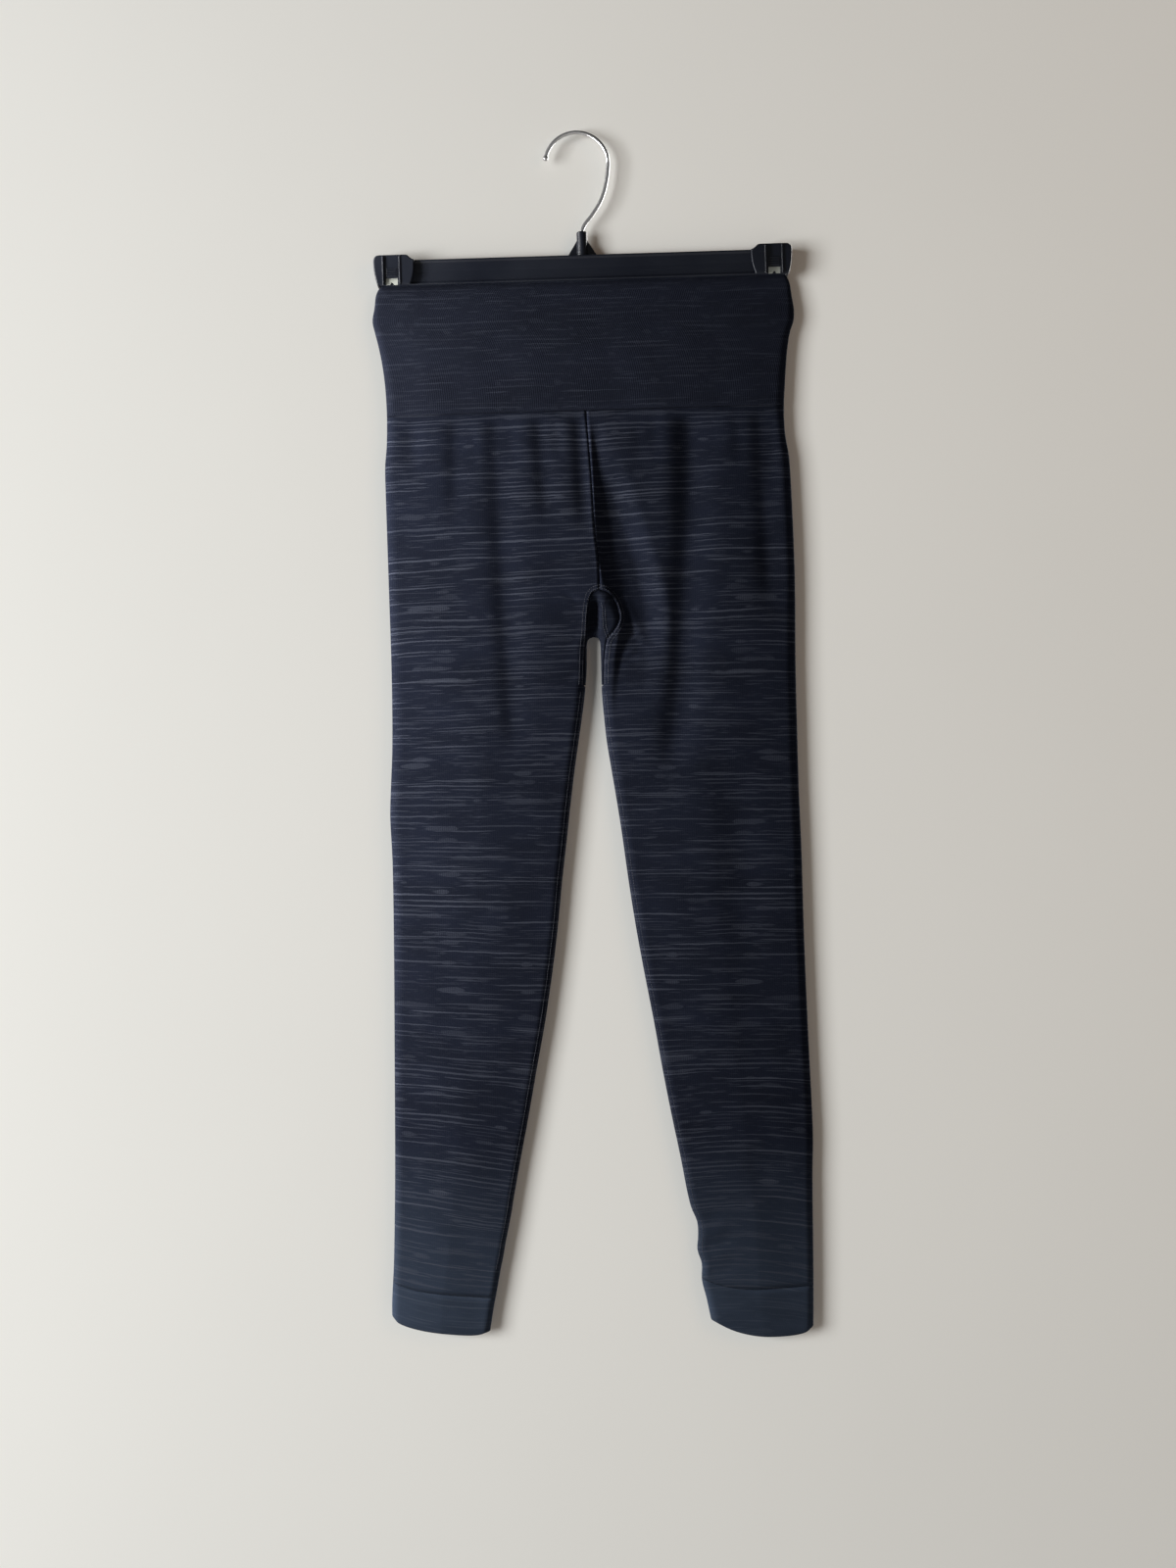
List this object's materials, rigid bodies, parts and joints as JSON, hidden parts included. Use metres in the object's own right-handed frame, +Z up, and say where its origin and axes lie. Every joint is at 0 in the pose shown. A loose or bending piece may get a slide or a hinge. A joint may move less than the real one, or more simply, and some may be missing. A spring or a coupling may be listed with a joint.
{
  "type": "leggings on a clamp hanger",
  "caption": "Knit leggings with a wide ribbed waistband, hanging flat and open-legged from a clamp trouser hanger with a wire hook.",
  "frame": {"origin": "inside top of the hook, where a peg or rail holds the hanger", "axes": "+Z up, +X towards the viewer's right as in the picture (the wearer's left), +Y away from the viewer, towards the wall"},
  "size_m": [0.3702, 0.0195, 1.0361],
  "materials": {
    "ribbed_band": "matt fine vertical rib",
    "knit": "matt jersey with broken grey slub lines",
    "hem": "matt turned hem",
    "hanger_plastic": "satin moulded",
    "spring_steel": "dull strip",
    "hook_chrome": "bright drawn wire"
  },
  "bodies": {
    "root": {"waistband": "ribbed_band", "right_leg": "knit", "left_leg": "knit", "gusset": "knit", "right_cuff": "hem", "left_cuff": "hem", "hanger_front_bar": "hanger_plastic", "hanger_back_bar": "hanger_plastic", "right_clip": "hanger_plastic", "left_clip": "hanger_plastic", "right_spring": "spring_steel", "left_spring": "spring_steel", "hanger_hook": "hook_chrome"}
  },
  "joints": []
}
